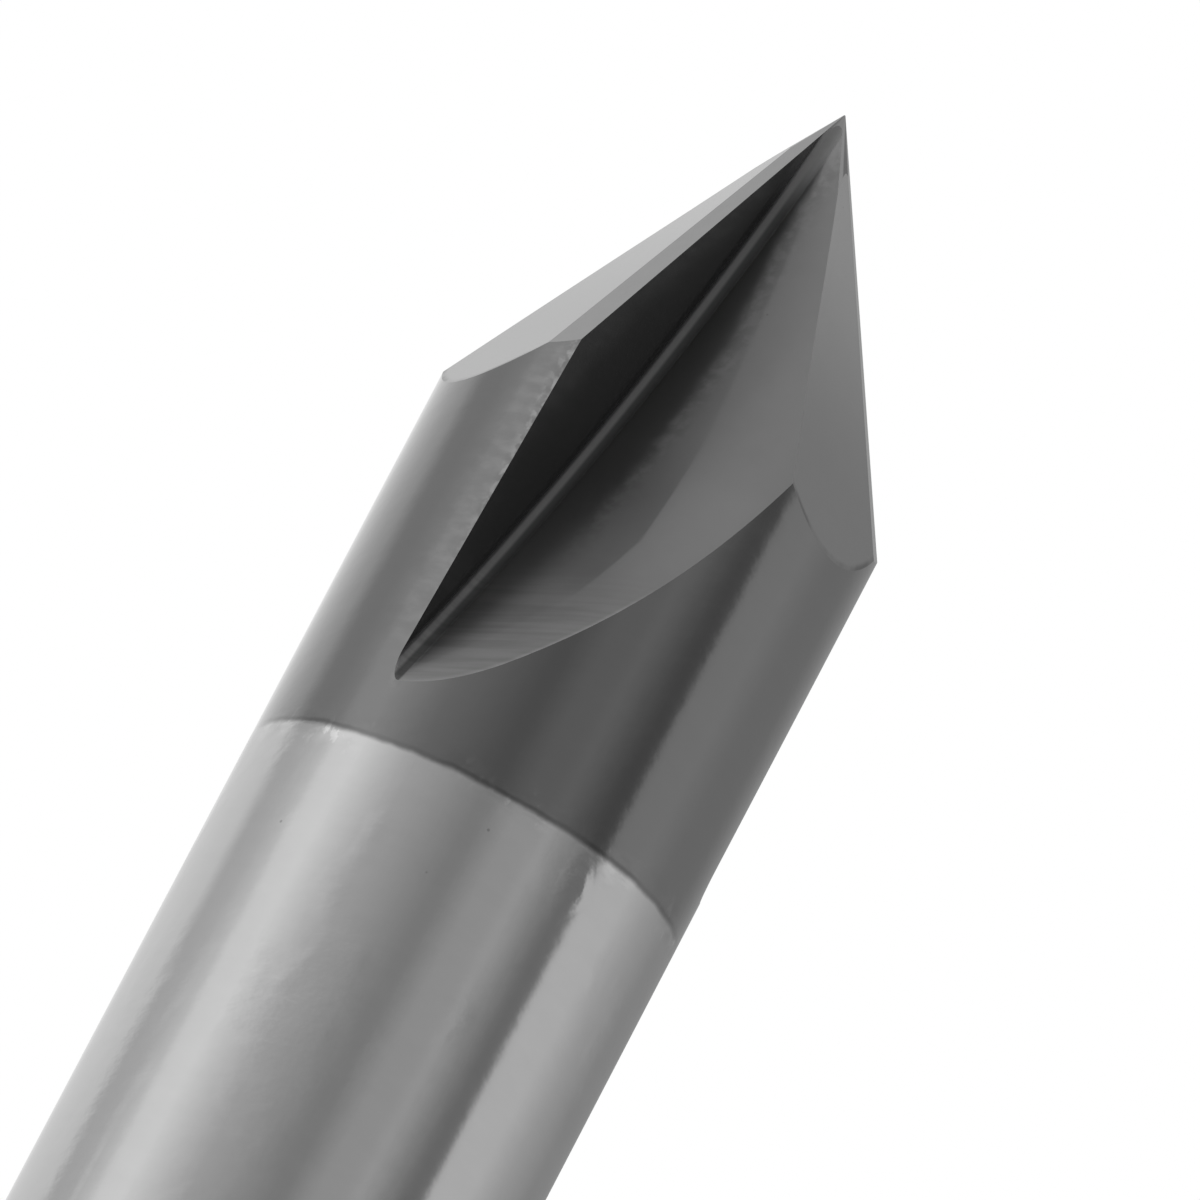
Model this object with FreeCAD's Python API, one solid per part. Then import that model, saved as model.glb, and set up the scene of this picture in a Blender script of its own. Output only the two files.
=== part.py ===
import FreeCAD, Part
import math
import os

# Chamfer mill: one ground carbide rod with a 60 degree point and three straight teeth.
# The tool stands on its shank end with its point up, and its axis is the Z axis.
# Seen from the point, it turns anticlockwise, and its first cutting edge lies over the +X axis.
# Lengths are in millimetres and angles in degrees.

# Rod
shank_diameter = 6.0
overall_length = 50.0
shank_end_chamfer = 0.5

# Point
point_angle = 60.0
tip_flat_diameter = 0.02
tooth_count = 3

# Relief: two flats are ground behind each cutting edge, and each turns further from the edge
primary_relief = 15.0
secondary_relief = 35.0
primary_land_at_tip = 0.21
primary_land_at_corner = 0.445

# Flutes: each is one plunge of a grinding wheel, which leaves the web between the teeth.
# The wheel's rim is tapered beside its flat side and hollow beyond, so that the flute's far wall
# swells towards the next tooth's heel.
radial_rake = 4.4
web_at_tip = 0.03
web_at_corner = 1.15
flute_wheel_diameter = 85.0
flute_wheel_taper = 8.7
tapered_rim_width = 1.4
hollow_rim_radius = 5.8
flute_root_radius = 0.15

# Worked out from the sizes above
shank_radius = shank_diameter / 2
point_slope = math.tan(math.radians(point_angle / 2))
point_length = shank_radius / point_slope
tip_flat_depth = tip_flat_diameter / 2 / point_slope
wheel_radius = flute_wheel_diameter / 2
# More than the flute's width, so the wheel's back stays clear of the rod
wheel_width = 1.5 * shank_radius
axis = FreeCAD.Vector(0, 0, 1)
# The cutting edges, made longer, would meet at the tip, just above the flat
tip = axis * (overall_length + tip_flat_depth)


def across(angle):
    """Unit vector square to the tool's axis, at an angle from +X."""
    turn = math.radians(angle)
    return FreeCAD.Vector(math.cos(turn), math.sin(turn), 0)


def edge_point(edge_angle, below_tip):
    """Point of a cutting edge at a distance below the tip."""
    return tip - axis * below_tip + across(edge_angle) * below_tip * point_slope


def blank():
    """Ground rod with a chamfered end and a cone with a tiny flat on its tip."""
    corner_height = tip.z - point_length
    profile = Part.makePolygon([
        FreeCAD.Vector(0, 0, 0),
        FreeCAD.Vector(shank_radius - shank_end_chamfer, 0, 0),
        FreeCAD.Vector(shank_radius, 0, shank_end_chamfer),
        FreeCAD.Vector(shank_radius, 0, corner_height),
        FreeCAD.Vector(tip_flat_diameter / 2, 0, overall_length),
        FreeCAD.Vector(0, 0, overall_length),
        FreeCAD.Vector(0, 0, 0),
    ])
    return Part.Face(profile).revolve(FreeCAD.Vector(0, 0, 0), axis, 360)


def flat_grinder(point_on_flat, outward):
    """Broad wheel that takes away all that stands out past a flat."""
    reach = overall_length
    return Part.makeCylinder(reach, reach, point_on_flat, outward)


def primary_grinder(edge_angle):
    """Narrow flat that starts at the cutting edge, along the edge's whole length."""
    facing = across(edge_angle - primary_relief)
    along_edge = edge_point(edge_angle, point_length) - tip
    along_trace = axis.cross(facing)
    outward = along_edge.cross(along_trace)
    return flat_grinder(tip, outward)


def secondary_grinder(edge_angle):
    """Broad flat behind the primary one, which it meets in a line that widens from the tip."""
    behind_edge = across(edge_angle - primary_relief - 90)
    near_tip = tip + behind_edge * primary_land_at_tip
    near_corner = edge_point(edge_angle, point_length) + behind_edge * primary_land_at_corner
    along_trace = axis.cross(across(edge_angle - secondary_relief))
    outward = (near_corner - near_tip).cross(along_trace)
    return flat_grinder(near_tip, outward)


def flute_wheel_centre():
    """Centre of the wheel's flat side: how far out from the axis, and how far below the tip.

    The wheel's rim passes the web at the tip and at the tooth's corner, and then climbs on
    until it leaves the shank's surface.
    """
    web_gain = web_at_corner - web_at_tip
    chord = math.hypot(web_gain, point_length)
    rise = math.sqrt(wheel_radius ** 2 - (chord / 2) ** 2)
    out = (web_at_tip + web_at_corner) / 2 + rise * point_length / chord
    below = point_length / 2 - rise * web_gain / chord
    return out, below


def on_circle(middle, radius, angle):
    """Point of a circle in the XZ plane, at an angle from +X."""
    turn = math.radians(angle)
    return middle + FreeCAD.Vector(math.cos(turn), 0, math.sin(turn)) * radius


def flute_wheel():
    """Grinding wheel with its axis on Z and its flat side on the XY plane."""
    taper = math.radians(flute_wheel_taper)
    root_loss = flute_root_radius * (math.tan(taper) + 1 / math.cos(taper))
    taper_loss = tapered_rim_width * math.tan(taper)
    root_middle = FreeCAD.Vector(wheel_radius - root_loss, 0, flute_root_radius)
    taper_end = FreeCAD.Vector(wheel_radius - taper_loss, 0, tapered_rim_width)
    hollow_middle = on_circle(taper_end, hollow_rim_radius, flute_wheel_taper)
    hollow_start = 180 + flute_wheel_taper
    hollow_end = 180 + math.degrees(math.asin((hollow_middle.z - wheel_width) / hollow_rim_radius))
    root = [
        on_circle(root_middle, flute_root_radius, angle)
        for angle in (-90, (flute_wheel_taper - 90) / 2, flute_wheel_taper)
    ]
    hollow = [
        on_circle(hollow_middle, hollow_rim_radius, angle)
        for angle in (hollow_start, (hollow_start + hollow_end) / 2, hollow_end)
    ]
    hub = FreeCAD.Vector(0, 0, 0)
    back = FreeCAD.Vector(0, 0, wheel_width)
    profile = Part.Wire([
        Part.makeLine(hub, root[0]),
        Part.Arc(*root).toShape(),
        Part.makeLine(root[-1], hollow[0]),
        Part.Arc(*hollow).toShape(),
        Part.makeLine(hollow[-1], back),
        Part.makeLine(back, hub),
    ])
    return Part.Face(profile).revolve(hub, axis, 360)


def flute_grinder(edge_angle):
    """The wheel in its place: its flat side makes the tooth's face and its rim the far wall.

    Its faces are turned into free-form ones, which meet the relief flats cleanly at the tip.
    """
    outwards = across(edge_angle + radial_rake)
    along_edge = edge_point(edge_angle, point_length) - tip
    # The flat side holds the tip and the cutting edge, and faces the way the tool turns
    facing = outwards.cross(along_edge)
    facing.normalize()
    down = facing.cross(outwards)
    out, below = flute_wheel_centre()
    centre = tip + outwards * out + down * (below / abs(down.z))
    wheel = flute_wheel()
    wheel.Placement = FreeCAD.Placement(centre, FreeCAD.Rotation(outwards, down, facing, "ZXY"))
    return wheel.toNurbs()


def chamfer_mill():
    """Blank with the flutes ground first, and then the two flats behind each edge."""
    tool = blank()
    for grinder in (flute_grinder, primary_grinder, secondary_grinder):
        for tooth in range(tooth_count):
            edge_angle = 360.0 * tooth / tooth_count
            tool = tool.cut(grinder(edge_angle))
    return tool


os.makedirs("parts", exist_ok=True)
tool = chamfer_mill()
tool.exportStep("parts/chamfer_mill.step")
print("solids", len(tool.Solids), "valid", tool.isValid(), "faces", len(tool.Faces))
print("volume", round(tool.Volume, 3), "box", tool.optimalBoundingBox())
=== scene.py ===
from math import acos, asin, cos, hypot, pi, radians, sin, sqrt, tan

import bmesh
import bpy
from mathutils import Matrix, Vector


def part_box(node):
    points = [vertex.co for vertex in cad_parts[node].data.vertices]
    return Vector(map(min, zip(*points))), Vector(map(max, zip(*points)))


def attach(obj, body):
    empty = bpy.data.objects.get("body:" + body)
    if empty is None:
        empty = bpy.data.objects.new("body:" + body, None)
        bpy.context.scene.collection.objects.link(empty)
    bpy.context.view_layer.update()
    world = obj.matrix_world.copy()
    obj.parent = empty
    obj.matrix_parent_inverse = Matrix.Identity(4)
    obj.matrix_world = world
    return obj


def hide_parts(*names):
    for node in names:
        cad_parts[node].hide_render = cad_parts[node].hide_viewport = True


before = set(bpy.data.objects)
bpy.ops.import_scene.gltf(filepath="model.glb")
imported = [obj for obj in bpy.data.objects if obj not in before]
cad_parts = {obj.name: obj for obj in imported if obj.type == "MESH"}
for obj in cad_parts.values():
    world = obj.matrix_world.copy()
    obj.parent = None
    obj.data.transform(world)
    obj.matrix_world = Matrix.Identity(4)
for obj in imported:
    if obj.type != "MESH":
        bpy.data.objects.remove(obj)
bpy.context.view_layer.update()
scene = bpy.context.scene
scene.view_settings.view_transform = "Standard"

# Camera
# A long lens looks up at the tool's head from a little below it, and leans to one side, so that
# the tool points up to the right. The tip's place in the picture sets where the camera stands.
picture_side = 1200
tip_in_picture = (844.8, 115.6)
camera_azimuth = radians(2.85)
camera_below = radians(18.52)
camera_lean = radians(27.67)
camera_distance = 0.33863
camera_lens = 797.6
camera_sensor = 36.0

camera_data = bpy.data.cameras.new("camera")
camera_data.lens = camera_lens
camera_data.sensor_width = camera_sensor
camera_data.clip_start = 0.01
camera = bpy.data.objects.new("camera", camera_data)
scene.collection.objects.link(camera)
scene.camera = camera

toward_camera = Vector((sin(camera_azimuth), -cos(camera_azimuth), 0))
sideways = Vector((cos(camera_azimuth), sin(camera_azimuth), 0))
upright = Vector((0, 0, 1))
forward = upright * sin(camera_below) - toward_camera * cos(camera_below)
level_up = upright * cos(camera_below) + toward_camera * sin(camera_below)
picture_right = sideways * cos(camera_lean) + level_up * sin(camera_lean)
picture_up = level_up * cos(camera_lean) - sideways * sin(camera_lean)
pixel_size = camera_distance * camera_sensor / camera_lens / picture_side
tool_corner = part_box("chamfer_mill")[1]
camera_place = (
    upright * tool_corner.z
    - forward * camera_distance
    - picture_right * (tip_in_picture[0] - picture_side / 2) * pixel_size
    + picture_up * (tip_in_picture[1] - picture_side / 2) * pixel_size
)
turned = Matrix((picture_right, picture_up, -forward)).transposed().to_4x4()
camera.matrix_world = Matrix.Translation(camera_place) @ turned

# Tool
# One rod of fine grained cemented carbide, ground round and to a point. A large wheel has then
# ground three flutes, and a flat wheel the two flats behind each cutting edge. A hard dark coating
# a few micrometres thick covers the front 11 mm. Sizes are in millimetres until the mesh is whole.
mm_per_metre = 1000
mark_depth = 0.001 / mm_per_metre
shank_radius = tool_corner.x * mm_per_metre
overall_length = tool_corner.z * mm_per_metre
shank_end_chamfer = 0.5
shank_end_rounding = 0.06
point_angle = radians(60)
tip_flat_radius = 0.01
tooth_count = 3
primary_relief = radians(15)
secondary_relief = radians(35)
primary_land_at_tip = 0.21
primary_land_at_corner = 0.445
radial_rake = radians(4.4)
web_at_tip = 0.03
web_at_corner = 1.15
flute_wheel_radius = 42.5
flute_wheel_taper = radians(8.7)
tapered_rim_width = 1.4
hollow_rim_radius = 5.8
flute_root_radius = 0.15
rod_steps = 360
flute_steps = 120
root_steps = 18
hollow_steps = 20
smooth_below = radians(10)

point_slope = tan(point_angle / 2)
point_length = shank_radius / point_slope
apex = upright * (overall_length + tip_flat_radius / point_slope)
wheel_width = 1.5 * shank_radius
wheel_inner_radius = flute_wheel_radius - 2 * shank_radius
wheel_path_map = "wheel_path"

# Tones and roughness of the bare carbide and of each ground surface under the coating
bare_tone = 0.58
bare_roughness = 0.12
coated_tone = 0.17
coating_index = 1.6
coating_roughness = 0.07
rod_roughness = 0.15
tooth_roughness = 0.22
land_roughness = 0.2
root_roughness = 0.7
fine_wall_roughness = 0.3
coarse_wall_roughness = 0.55

# Where their marks lie: heights are from the shank's end, and widths lie across a wheel's path.
# Two numbers say where a mark starts and is full, and four also where it starts to fade and ends.
coating_border = 38.805
border_sag = 0.012
border_wander = 0.07
flute_end = 39.5
tip_is_dull_and_shaded = (47.6, 48.6)
root_is_dull = (0.02, 0.05, 0.25, 0.29)
root_has_painted_highlight = (0.04, 0.08, 0.13, 0.18)
root_is_below_tip = (49.4, 48.2)
fine_wall_width = 0.9
fine_wall_width_at_tip = 0.42
fine_wall_is_wide = (48.6, 45.6)
ragged_line_is_soft = (43.9, 42.0)
coarse_wall_has_painted_light = (41.6, 42.8)
wall_is_crinkled = (41.8, 43.4)
wall_is_shiny = (41.6, 42.3, 43.4, 44.7)
wheel_has_left = (42.6, 41.0)
rim_has_painted_highlight = (42.3, 41.8)
broad_land_is_lighter = (45.0, 48.8)


def across(angle):
    """Unit vector square to the tool's axis."""
    return Vector((cos(angle), sin(angle), 0))


def edge_point(edge_angle, below_apex):
    """Point of a cutting edge, or of its line made longer."""
    return apex - upright * below_apex + across(edge_angle) * below_apex * point_slope


def swept_solid(name, finish, sections, paths=None, first_strip_finish=None):
    """Closed solid through a row of like sections, with a flat face on its first and last one.

    Paths, where they are given, hold how far each point lies along a wheel's path and from the
    corner between the wheel's flat side and its rim.
    The strip between the sections' first two points can have a finish of its own.
    """
    points = [point for section in sections for point in section]
    around = len(sections[0])
    faces = [tuple(range(around)), tuple(range(len(points) - around, len(points)))]
    for row in range(len(sections) - 1):
        for place in range(around):
            here = row * around + place
            beside = row * around + (place + 1) % around
            faces.append((here, beside, beside + around, here + around))
    mesh = bpy.data.meshes.new(name)
    mesh.from_pydata(points, [], faces)
    mesh.materials.append(finish)
    if first_strip_finish:
        mesh.materials.append(first_strip_finish)
        for row in range(len(sections) - 1):
            mesh.polygons[2 + row * around].material_index = 1
    path_map = mesh.uv_layers.new(name=wheel_path_map)
    if paths:
        for loop in mesh.loops:
            path_map.data[loop.index].uv = paths[loop.vertex_index]
    solid = bmesh.new()
    solid.from_mesh(mesh)
    bmesh.ops.recalc_face_normals(solid, faces=solid.faces)
    solid.to_mesh(mesh)
    solid.free()
    made = bpy.data.objects.new(name, mesh)
    scene.collection.objects.link(made)
    return made


def rounded(before, corner, after, radius, steps=6):
    """Points of an arc that rounds a corner of a profile."""
    back = (before - corner).normalized()
    on = (after - corner).normalized()
    half_turn = back.angle(on) / 2
    middle = corner + (back + on).normalized() * radius / sin(half_turn)
    start = (corner + back * radius / tan(half_turn) - middle).normalized()
    end = (corner + on * radius / tan(half_turn) - middle).normalized()
    return [middle + start.slerp(end, step / steps) * radius for step in range(steps + 1)]


def ground_rod(finish):
    """Rod with its chamfered end and its cone, turned about the axis."""
    end_face = Vector((shank_radius - shank_end_chamfer, 0))
    shank_start = Vector((shank_radius, shank_end_chamfer))
    corner = Vector((shank_radius, apex.z - point_length))
    profile = rounded(Vector((0, 0)), end_face, shank_start, shank_end_rounding)
    profile += rounded(end_face, shank_start, corner, shank_end_rounding)
    profile += [corner, Vector((tip_flat_radius, overall_length))]
    turns = [across(2 * pi * step / rod_steps) for step in range(rod_steps)]
    sections = [[turn * radius + upright * height for turn in turns] for radius, height in profile]
    return swept_solid("ground_rod", finish, sections)


def flute_wheel_profile():
    """Half of a grinding wheel's section, given by radius and by width from its flat side.

    The wheel's corner is rounded. Its rim is tapered beside the corner and hollow beyond.
    """
    taper_loss = tapered_rim_width * tan(flute_wheel_taper)
    taper_end = Vector((flute_wheel_radius - taper_loss, tapered_rim_width))
    hollow = taper_end + Vector((cos(flute_wheel_taper), sin(flute_wheel_taper))) * hollow_rim_radius
    hollow_end = asin((hollow.y - wheel_width) / hollow_rim_radius)
    root_loss = flute_root_radius * (tan(flute_wheel_taper) + 1 / cos(flute_wheel_taper))
    root = Vector((flute_wheel_radius - root_loss, flute_root_radius))
    profile = [Vector((wheel_inner_radius, 0))]
    for step in range(root_steps + 1):
        turn = -pi / 2 + (pi / 2 + flute_wheel_taper) * step / root_steps
        profile.append(root + Vector((cos(turn), sin(turn))) * flute_root_radius)
    for step in range(hollow_steps + 1):
        turn = flute_wheel_taper + (hollow_end - flute_wheel_taper) * step / hollow_steps
        profile.append(hollow - Vector((cos(turn), sin(turn))) * hollow_rim_radius)
    profile.append(Vector((wheel_inner_radius, wheel_width)))
    return profile


def flute_wheel(edge_angle, finish, tooth_finish):
    """The stretch of a grinding wheel that passes through the rod to leave one flute.

    Its flat side leaves the tooth's face, its corner the root, and its rim the far wall, which
    swells towards the heel. The stretch starts above the tip and ends outside the rod.
    """
    outwards = across(edge_angle + radial_rake)
    along_edge = edge_point(edge_angle, point_length) - apex
    facing = outwards.cross(along_edge).normalized()
    down = facing.cross(outwards)
    web_gain = web_at_corner - web_at_tip
    chord = hypot(web_gain, point_length)
    rise_of_arc = sqrt(flute_wheel_radius ** 2 - (chord / 2) ** 2)
    out = (web_at_tip + web_at_corner) / 2 + rise_of_arc * point_length / chord
    below = point_length / 2 - rise_of_arc * web_gain / chord
    centre = apex + outwards * out + down * (below / abs(down.z))

    profile = flute_wheel_profile()
    from_corner = [wheel_inner_radius - profile[1].x, 0]
    for start, end in zip(profile[1:], profile[2:]):
        from_corner.append(from_corner[-1] + (end - start).length)

    above_tip = 0.2 * point_length
    outside_rod = 1.1 * shank_radius
    first = asin((-above_tip - below) / flute_wheel_radius)
    last = acos((out - outside_rod) / flute_wheel_radius)
    sections = []
    paths = []
    for step in range(flute_steps + 1):
        turn = first + (last - first) * step / flute_steps
        spoke = down * sin(turn) - outwards * cos(turn)
        sections.append([centre + spoke * radius + facing * width for radius, width in profile])
        paths += [(turn * flute_wheel_radius, length) for length in from_corner]
    return swept_solid("flute_wheel", finish, sections, paths, tooth_finish)


def flat_wheel(point, slope, relief_side, finish):
    """Block that takes away all that stands out past a flat.

    The flat passes a point, runs along the slope, and is level along the relief side.
    """
    outward = slope.cross(relief_side).normalized()
    reach = 4 * point_length
    along = slope.normalized() * reach
    aside = relief_side * reach
    square = [point + along + aside, point + along - aside, point - along - aside, point - along + aside]
    return swept_solid("flat_wheel", finish, [square, [place + outward * reach for place in square]])


def relief_wheels(edge_angle, narrow_finish, broad_finish):
    """The narrow flat that starts at the cutting edge, and the broad one behind it."""
    corner = edge_point(edge_angle, point_length)
    primary_side = upright.cross(across(edge_angle - primary_relief))
    yield flat_wheel(apex, corner - apex, primary_side, narrow_finish)
    near_tip = apex - primary_side * primary_land_at_tip
    near_corner = corner - primary_side * primary_land_at_corner
    secondary_side = upright.cross(across(edge_angle - secondary_relief))
    yield flat_wheel(near_tip, near_corner - near_tip, secondary_side, broad_finish)


class Pattern:
    """Value that varies over a surface, and is reckoned with as a number is.

    Each sum, product and so on becomes a node of the finish that the pattern belongs to.
    """

    def __init__(self, socket):
        self.socket = socket

    def __add__(self, other):
        return reckon("ADD", self, other)

    def __sub__(self, other):
        return reckon("SUBTRACT", self, other)

    def __rsub__(self, other):
        return reckon("SUBTRACT", other, self)

    def __mul__(self, other):
        return reckon("MULTIPLY", self, other)

    def __truediv__(self, other):
        return reckon("DIVIDE", self, other)

    def __abs__(self):
        return reckon("ABSOLUTE", self)


def new_node(pattern, kind):
    """Node in the same finish as a pattern."""
    return pattern.socket.id_data.nodes.new(kind)


def feed(socket, value):
    """Give a socket a fixed value, or link a pattern to it."""
    if isinstance(value, Pattern):
        socket.id_data.links.new(value.socket, socket)
    else:
        socket.default_value = value


def reckon(operation, *values):
    """One step of arithmetic, on one pattern at least."""
    node = new_node(next(value for value in values if isinstance(value, Pattern)), "ShaderNodeMath")
    node.operation = operation
    for socket, value in zip(node.inputs, values):
        feed(socket, value)
    return Pattern(node.outputs["Value"])


def rise(value, start, end):
    """Smooth rise from 0 at the start to 1 at the end."""
    node = new_node(value, "ShaderNodeMapRange")
    node.interpolation_type = "SMOOTHSTEP"
    feed(node.inputs["Value"], value)
    node.inputs["From Min"].default_value = start
    node.inputs["From Max"].default_value = end
    return Pattern(node.outputs["Result"])


def stretch(value, start, full, fading, end):
    """Smooth rise to 1, and smooth fall back to 0 further on."""
    return rise(value, start, full) * rise(value, end, fading)


def mixed(share, without, full):
    """Value that passes from one to the other as the share goes from 0 to 1."""
    node = new_node(share, "ShaderNodeMix")
    feed(node.inputs["Factor"], share)
    feed(node.inputs["A"], without)
    feed(node.inputs["B"], full)
    return Pattern(node.outputs["Result"])


def parts_of(places):
    """The three coordinates of a place."""
    apart = new_node(places, "ShaderNodeSeparateXYZ")
    feed(apart.inputs["Vector"], places)
    return [Pattern(apart.outputs[name]) for name in "XYZ"]


def grain(places, spots_per_mm, detail=2.0):
    """Uneven pattern between 0 and 1, with so many spots to a millimetre along each axis."""
    scaled = new_node(places, "ShaderNodeMapping")
    feed(scaled.inputs["Vector"], places)
    scaled.inputs["Scale"].default_value = spots_per_mm
    noise = new_node(places, "ShaderNodeTexNoise")
    noise.inputs["Scale"].default_value = 1
    noise.inputs["Detail"].default_value = detail
    feed(noise.inputs["Vector"], Pattern(scaled.outputs["Vector"]))
    return Pattern(noise.outputs["Fac"])


def even_grain(places, spots_per_mm, detail=2.0):
    """Grain whose spots are as long as they are wide."""
    return grain(places, (spots_per_mm, spots_per_mm, spots_per_mm), detail)


def pits(places, cells_per_mm):
    """1 in a tiny pit in the middle of every other cell, and 0 between the pits."""
    cells = new_node(places, "ShaderNodeTexVoronoi")
    cells.inputs["Scale"].default_value = cells_per_mm
    feed(cells.inputs["Vector"], places)
    pick = new_node(places, "ShaderNodeSeparateColor")
    feed(pick.inputs["Color"], Pattern(cells.outputs["Color"]))
    chosen = reckon("GREATER_THAN", Pattern(pick.outputs["Red"]), 0.5)
    return chosen * rise(Pattern(cells.outputs["Distance"]), 0.045, 0.02)


def wheel_path(places):
    """How far each point lies along the flute wheel's path, and from the wheel's corner."""
    path = new_node(places, "ShaderNodeUVMap")
    path.uv_map = wheel_path_map
    return Pattern(path.outputs["UV"])


def wheel_lines(path):
    """Very fine lines that a wheel leaves along its path."""
    return grain(path, (0.4, 25.0, 1.0)) * 0.06


def under_rod_surface(places):
    """How deep a place lies under the surface of the round rod."""
    x, y = parts_of(places)[:2]
    squares = reckon("POWER", x, 2.0) + reckon("POWER", y, 2.0)
    return shank_radius - reckon("SQRT", squares)


def past_coating_border(places):
    """How far a place lies past the coating's border, which sags to the front and the back."""
    x, y, height = parts_of(places)
    sag = reckon("POWER", x, 2.0) * border_sag
    wander = even_grain(places, 2.5, 6.0) * border_wander
    return height - (sag + wander + coating_border)


def behind_cutting_edge(places):
    """How far round the rod a place lies behind an edge, as a share of the way to the next edge."""
    x, y = parts_of(places)[:2]
    teeth_round = reckon("ARCTAN2", y, x) * (tooth_count / (2 * pi))
    return 1.0 - reckon("FRACT", teeth_round)


def rod_marks(places):
    """The coating's border, and the marks that are left round the rod and on the cone.

    The coating thins out over a tenth of a millimetre, with a dark line just before it does. The
    surface is the most uneven beside the border and behind the cutting edges, which are worn light.
    The coating is dull at the tip, and painted shade darkens its colour there.
    """
    height = parts_of(places)[2]
    past_border = past_coating_border(places)
    coated = rise(past_border, -0.05, 0.03)
    patches = rise(even_grain(places, 1.2), 0.35, 0.6)
    border_line = rise(abs(past_border - 0.045), 0.045, 0.0) * mixed(patches, 0.15, 0.4)
    near_border = rise(abs(past_border), 0.4, 0.0) * patches

    behind_edge = behind_cutting_edge(places)
    near_edge = rise(behind_edge, 0.14, 0.03) * rise(height, flute_end, flute_end + 1.5)
    edge_wear = rise(behind_edge, 0.04, 0.01) * rise(height, flute_end, flute_end + 0.5)
    uneven = reckon("MAXIMUM", near_border, near_edge)

    spots = grain(places, (3.5, 3.5, 14.0), 3.0)
    dents = grain(places, (2.5, 2.5, 4.0), 3.0)
    dented = rise(grain(places, (0.7, 0.7, 0.5)), 0.5, 0.62)
    dent_depth = mixed(coated, mixed(dented, 2.2, 9.0), 3.0)
    depth = spots * mixed(uneven, 0.2, 2.5) + dents * dent_depth

    flecks = rise(grain(places, (2.5, 2.5, 6.0), 5.0), 0.35, 0.7)
    specks = rise(grain(places, (6.0, 6.0, 4.0), 4.0), 0.57, 0.66)
    chips = rise(even_grain(places, 9.0, 3.0), 0.45, 0.62)
    worn = mixed(uneven, 1.0, mixed(flecks, 0.88, 1.15))
    worn = worn * mixed(near_border * specks, 1.0, 1.35)
    worn = worn * mixed(edge_wear, 1.0, mixed(chips, 0.85, 1.4))
    dark = reckon("MAXIMUM", border_line, pits(places, 1.6) * 0.3)
    # Painted shade: the colour is darkened at the tip, where the coating also shines less.
    dull_and_shaded_tip = mixed(rise(height, *tip_is_dull_and_shaded), 1.0, 0.7)
    shade = mixed(grain(places, (1.5, 1.5, 4.0)), 0.97, 1.03)
    tone = mixed(coated, bare_tone, coated_tone) * (shade * (worn * (1.0 - dark) * dull_and_shaded_tip))
    return tone, coated * dull_and_shaded_tip, mixed(coated, bare_roughness, rod_roughness), depth


def tooth_marks(places):
    """The fine lines that the wheel's flat side left."""
    shade = mixed(even_grain(places, 2.0), 0.96, 1.04)
    return shade * coated_tone, 1.0, tooth_roughness, wheel_lines(wheel_path(places))


def root_marks(from_corner, height):
    """Where the root's dull coating is, and the highlight that is painted on the root.

    It is brightest along the middle and near the tip, and painted shade darkens its flanks.
    """
    root = stretch(from_corner, *root_is_dull)
    middle = stretch(from_corner, *root_has_painted_highlight)
    below_tip = rise(height, *root_is_below_tip)
    # Painted highlight in the root's colour: brightest along its middle and near the tip, with painted
    # shade on its flanks.
    return root, mixed(root, 1.0, mixed(below_tip, 1.5, mixed(middle, 0.5, 1.1)))


def coarse_wall_marks(places, from_corner, height):
    """Where the wall is coarse, the light painted on it there, and the crinkles where that starts.

    The fine stretch before it narrows towards the tip. The line between them is ragged, and softer
    where the wheel left the rod.
    """
    wide = rise(height, *fine_wall_is_wide)
    fine_width = mixed(wide, fine_wall_width_at_tip, fine_wall_width)
    past_fine = from_corner - fine_width * mixed(even_grain(places, 4.0, 6.0), 0.78, 1.22)
    line_width = mixed(rise(height, *ragged_line_is_soft), 0.18, 0.5)
    coarse = rise(past_fine / line_width, -1.0, 1.0)
    # Painted light: the coarse wall's colour is made lighter high up.
    coarse_painted_light = mixed(coarse * rise(height, *coarse_wall_has_painted_light), 1.0, 1.1)
    crinkled = stretch(past_fine, -0.1, 0.0, 0.0, 0.35) * rise(height, *wall_is_crinkled)
    crinkles = mixed(rise(even_grain(places, 7.0, 4.0), 0.35, 0.65), 0.88, 1.12)
    return coarse, coarse_painted_light * mixed(crinkled, 1.0, crinkles)


def run_out_marks(places, along, from_corner, height):
    """Scratches aslant to the wheel's path where it left the rod, and light painted on the wall there.

    Painted light makes the wall lighter towards its rim, and a painted highlight lines the rim.
    """
    leaving = rise(height, *wheel_has_left)
    aslant = new_node(places, "ShaderNodeCombineXYZ")
    feed(aslant.inputs["X"], along + from_corner * 0.28)
    feed(aslant.inputs["Y"], from_corner)
    scratches = grain(Pattern(aslant.outputs["Vector"]), (8.0, 0.5, 1.0), 5.0)
    streaks = mixed(leaving, 1.0, mixed(rise(scratches, 0.35, 0.65), 0.9, 1.1))
    under = under_rod_surface(places)
    # Painted highlight: a thin light line in the colour along the rim where the wheel left the rod.
    rim_painted_highlight = mixed(rise(under, 0.04, 0.0) * rise(height, *rim_has_painted_highlight), 1.0, 1.3)
    # Painted light: the colour grows lighter towards the rim where the wheel left the rod.
    painted_light_toward_rim = mixed(rise(under, 0.4, 0.0) * leaving, 1.0, 1.15)
    return scratches * (leaving * 0.6), painted_light_toward_rim * rim_painted_highlight * streaks


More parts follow.
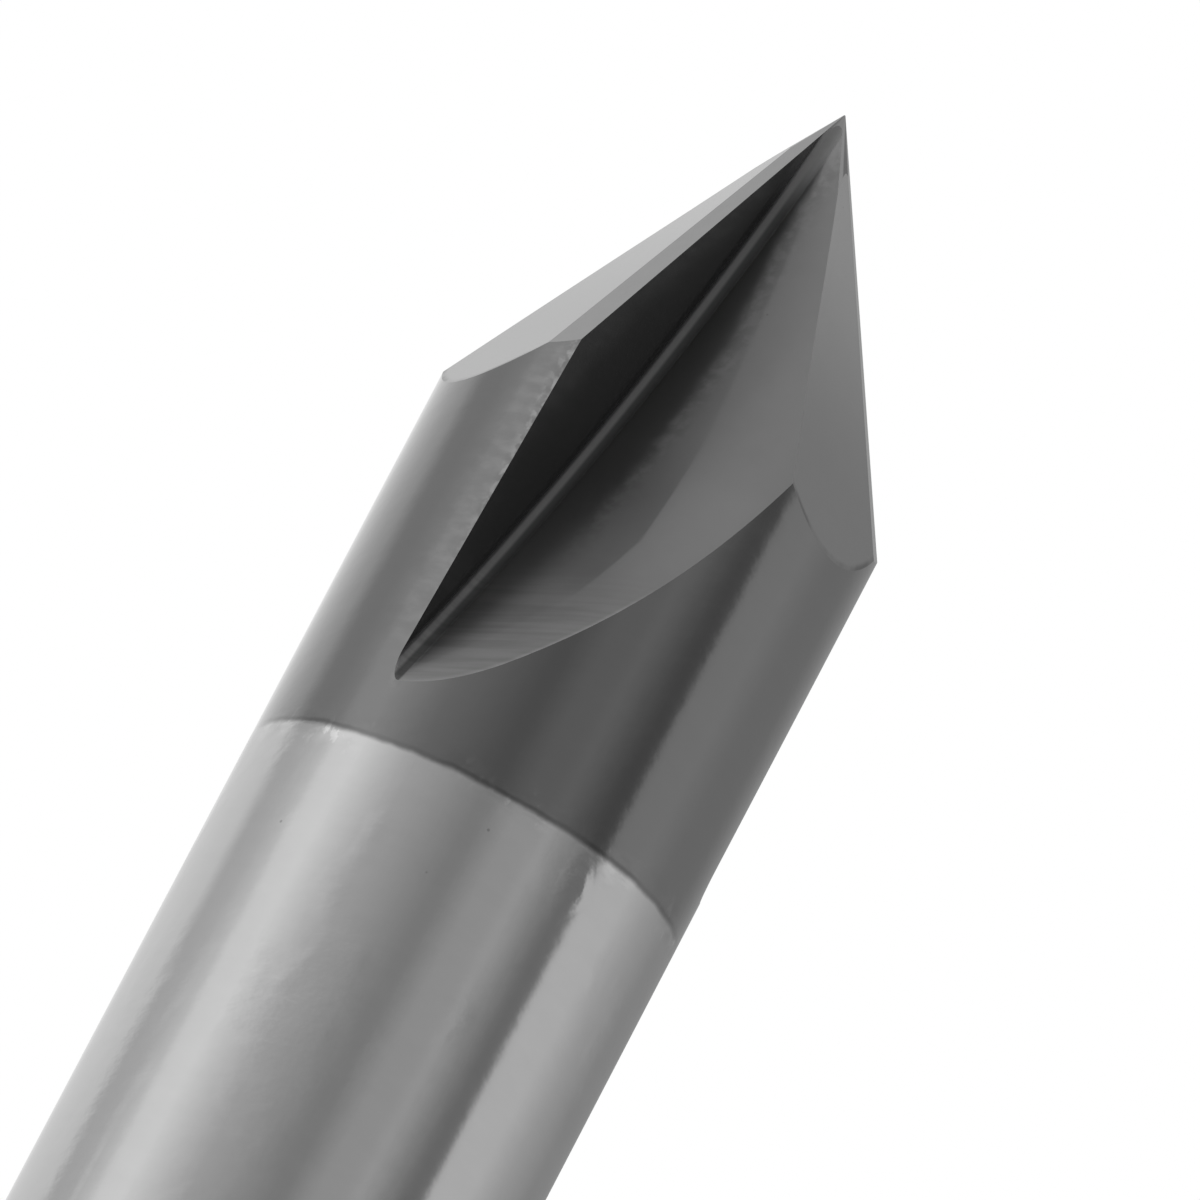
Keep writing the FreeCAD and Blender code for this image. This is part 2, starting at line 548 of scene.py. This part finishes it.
def flute_marks(places):
    """The root, and the wall that the wheel's rim left: fine beside the root, and coarser beyond.

    The coating shines the most in the lower middle of the wall, and not at all in the root.
    """
    path = wheel_path(places)
    along, from_corner = parts_of(path)[:2]
    height = parts_of(places)[2]
    root, root_painted_highlight = root_marks(from_corner, height)
    coarse, wall_painted_light_and_crinkles = coarse_wall_marks(places, from_corner, height)
    scratch_depth, run_out_painted_light_and_streaks = run_out_marks(places, along, from_corner, height)
    shine = (1.0 - root) * mixed(stretch(height, *wall_is_shiny), 0.3, 1.0)
    wall_roughness = mixed(coarse, fine_wall_roughness, coarse_wall_roughness)
    shade = mixed(even_grain(places, 3.0), 0.96, 1.04) * mixed(shine, 1.3, 1.0)
    # The gain carries the root's painted highlight, and painted light on the coarse wall and towards the
    # rim.
    gain = root_painted_highlight * wall_painted_light_and_crinkles * run_out_painted_light_and_streaks * (1.0 - pits(places, 1.6) * 0.5)
    roughness = mixed(root, wall_roughness, root_roughness)
    return shade * gain * coated_tone, shine, roughness, wheel_lines(path) + scratch_depth


def narrow_land_marks(places):
    """Small soft dents beside the cutting edge."""
    shade = mixed(even_grain(places, 4.0, 3.0), 0.9, 1.1)
    return shade * coated_tone, 1.0, land_roughness, even_grain(places, 6.0, 3.0) * 0.3


def broad_land_marks(places):
    """The broad flat is lighter towards the tip.

    It has tiny pits, and a dark line in places where the flat meets the rod.
    """
    height = parts_of(places)[2]
    lighter_to_tip = mixed(rise(height, *broad_land_is_lighter), 1.0, 2.2)
    shade = mixed(even_grain(places, 3.0, 3.0), 0.95, 1.05)
    patches = rise(even_grain(places, 2.0), 0.4, 0.6)
    rim = rise(under_rod_surface(places), 0.05, 0.01) * mixed(patches, 0.3, 0.9)
    dark = reckon("MAXIMUM", pits(places, 3.4), rim)
    tone = shade * (lighter_to_tip * mixed(dark, 1.0, 0.5)) * coated_tone
    return tone, mixed(dark, 1.0, 0.4), land_roughness, even_grain(places, 6.0) * 0.2


def ground_finish(name, marks):
    """Ground carbide and its hard coating, which adds a sharp reflection to the duller one below.

    Marks give the surface's tone, how much the coating shines on it, how rough it is below that
    shine, and how high it stands as a multiple of the mark depth.
    """
    finish = bpy.data.materials.new(name)
    finish.use_nodes = True
    nodes = finish.node_tree.nodes
    inputs = nodes["Principled BSDF"].inputs
    in_mm = nodes.new("ShaderNodeVectorMath")
    in_mm.operation = "SCALE"
    in_mm.inputs["Scale"].default_value = mm_per_metre
    feed(in_mm.inputs[0], Pattern(nodes.new("ShaderNodeTexCoord").outputs["Object"]))
    tone, shine, roughness, depth = marks(Pattern(in_mm.outputs["Vector"]))
    inputs["Metallic"].default_value = 1
    feed(inputs["Base Color"], tone)
    feed(inputs["Roughness"], roughness)
    feed(inputs["Coat Weight"], shine)
    inputs["Coat IOR"].default_value = coating_index
    inputs["Coat Roughness"].default_value = coating_roughness
    relief = nodes.new("ShaderNodeBump")
    relief.inputs["Distance"].default_value = mark_depth
    feed(relief.inputs["Height"], depth)
    feed(inputs["Normal"], Pattern(relief.outputs["Normal"]))
    feed(inputs["Coat Normal"], Pattern(relief.outputs["Normal"]))
    return finish


rod_finish = ground_finish("ground_rod", rod_marks)
tooth_finish = ground_finish("tooth_face", tooth_marks)
flute_finish = ground_finish("flute", flute_marks)
narrow_land_finish = ground_finish("narrow_land", narrow_land_marks)
broad_land_finish = ground_finish("broad_land", broad_land_marks)

tool = ground_rod(rod_finish)
edges = [2 * pi * tooth / tooth_count for tooth in range(tooth_count)]
wheels = [flute_wheel(edge, flute_finish, tooth_finish) for edge in edges]
for edge in edges:
    wheels += relief_wheels(edge, narrow_land_finish, broad_land_finish)
wheel_rack = bpy.data.collections.new("wheel_rack")
for wheel in wheels:
    wheel_rack.objects.link(wheel)
grinding = tool.modifiers.new("grinding", "BOOLEAN")
grinding.operand_type = "COLLECTION"
grinding.collection = wheel_rack
grinding.operation = "DIFFERENCE"
grinding.solver = "EXACT"
grinding.material_mode = "TRANSFER"
ground = bpy.data.meshes.new_from_object(tool.evaluated_get(bpy.context.evaluated_depsgraph_get()))
tool.modifiers.clear()
tool.data = ground
tool.name = "ground_carbide_tool"
for wheel in wheels:
    bpy.data.objects.remove(wheel)
bpy.data.collections.remove(wheel_rack)
ground.transform(Matrix.Scale(1 / mm_per_metre, 4))
ground.shade_smooth()
ground.set_sharp_from_angle(angle=smooth_below)
flat_faces = tool.modifiers.new("flat_faces", "WEIGHTED_NORMAL")
flat_faces.keep_sharp = True
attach(tool, "root")
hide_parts("chamfer_mill")

# Floor
# A small round table of pale matt board, cut out in one piece, on which the tool stands. It ends
# before the camera's line of sight to the head.
floor_radius = 0.085
floor_steps = 128
floor_tone = 0.9
floor_roughness = 0.9
rim = [across(2 * pi * step / floor_steps) * floor_radius for step in range(floor_steps)]
floor_mesh = bpy.data.meshes.new("floor")
floor_mesh.from_pydata(rim, [], [tuple(range(floor_steps))])
floor = bpy.data.objects.new("floor", floor_mesh)
scene.collection.objects.link(floor)
board = bpy.data.materials.new("pale_board")
board.use_nodes = True
board_inputs = board.node_tree.nodes["Principled BSDF"].inputs
board_inputs["Base Color"].default_value = (floor_tone, floor_tone, floor_tone, 1)
board_inputs["Roughness"].default_value = floor_roughness
floor_mesh.materials.append(board)

# Light
# A white cloth tent stands round the tool, with shaded and bright strips that pass softly into each
# other, and is open and dark above the camera. The ground rod mirrors the low strips as its long
# light and dark bands, and the head mirrors the ones above.
tent_radius = 0.6
tent_middle = 0.04
tent_rows = 36
tent_columns = 180
tent_top = 89.5

# Tones of the strips by azimuth, in degrees to the right of the camera's side. The bands of strips
# stand at heights that are in degrees above the tent's middle.
low_strips = (
    (-180, 0.70), (-176, 0.86), (-160, 0.79), (-140, 0.82), (-122, 0.81), (-112, 0.57),
    (-100, 0.62), (-88, 0.78), (-84, 0.95), (-70, 1.00), (-40, 0.54), (-20, 0.42), (-3, 0.31),
    (3, 0.31), (15, 0.44), (29, 0.45), (35, 0.50), (45, 0.36), (57, 0.21), (65, 0.21),
    (68, 0.68), (90, 0.67), (108, 0.50), (135, 0.34), (165, 0.30), (176, 0.32), (180, 0.70),
)
middle_strips = (
    (-180, 0.5), (-172, 0.6), (-160, 0.65), (-148, 0.9), (-135, 0.95), (-120, 1.4), (-105, 1.2),
    (-90, 0.6), (-75, 1.1), (-60, 1.4), (-45, 1.1), (-30, 1.0), (-15, 0.3), (0, 0.08),
    (30, 0.08), (45, 0.9), (60, 0.7), (75, 0.7), (90, 0.5), (120, 0.4), (132, 0.38),
    (150, 0.55), (160, 0.4), (180, 0.5),
)
high_strips = (
    (-180, 0.3), (-90, 0.5), (-60, 0.6), (-30, 0.1), (30, 0.1), (60, 0.9), (120, 1.2),
    (150, 0.5), (180, 0.3),
)
ceiling = ((-180, 1.3), (180, 1.3))
tent_bands = (
    (22, low_strips), (33, middle_strips), (42, middle_strips), (56, high_strips), (80, ceiling),
)


def between(steps, value):
    """Value read off a row of steps, each of which passes evenly into the next."""
    for (start, first), (end, second) in zip(steps, steps[1:]):
        if start <= value <= end:
            return first + (second - first) * (value - start) / (end - start)
    return steps[0][1] if value < steps[0][0] else steps[-1][1]


def tent_tone(azimuth, height):
    """How light the tent is in a direction."""
    return between([(level, between(strips, azimuth)) for level, strips in tent_bands], height)


heights = [-tent_top + 2 * tent_top * row / tent_rows for row in range(tent_rows + 1)]
azimuths = [-180 + 360 * column / tent_columns for column in range(tent_columns)]
points = []
for height in heights:
    for azimuth in azimuths:
        level = toward_camera * cos(radians(azimuth)) + sideways * sin(radians(azimuth))
        outward = level * cos(radians(height)) + upright * sin(radians(height))
        points.append(outward * tent_radius + upright * tent_middle)
faces = []
for row in range(tent_rows):
    for column in range(tent_columns):
        here = row * tent_columns + column
        beside = row * tent_columns + (column + 1) % tent_columns
        faces.append((here, beside, beside + tent_columns, here + tent_columns))
tent_mesh = bpy.data.meshes.new("tent")
tent_mesh.from_pydata(points, [], faces)
tones = tent_mesh.color_attributes.new("tone", "FLOAT_COLOR", "POINT")
for place in range(len(points)):
    row, column = divmod(place, tent_columns)
    tone = tent_tone(azimuths[column], heights[row])
    tones.data[place].color = (tone, tone, tone, 1)
tent = bpy.data.objects.new("tent", tent_mesh)
scene.collection.objects.link(tent)
cloth = bpy.data.materials.new("tent_cloth")
cloth.use_nodes = True
nodes, links = cloth.node_tree.nodes, cloth.node_tree.links
nodes.remove(nodes["Principled BSDF"])
glow = nodes.new("ShaderNodeEmission")
reading = nodes.new("ShaderNodeVertexColor")
reading.layer_name = "tone"
links.new(reading.outputs["Color"], glow.inputs["Color"])
links.new(glow.outputs["Emission"], nodes["Material Output"].inputs["Surface"])
tent_mesh.materials.append(cloth)
cloth.cycles.emission_sampling = "NONE"
tent.visible_camera = False
tent.visible_shadow = False

world = bpy.data.worlds.new("white_room")
scene.world = world
world.use_nodes = True
world.node_tree.nodes["Background"].inputs["Color"].default_value = (1, 1, 1, 1)
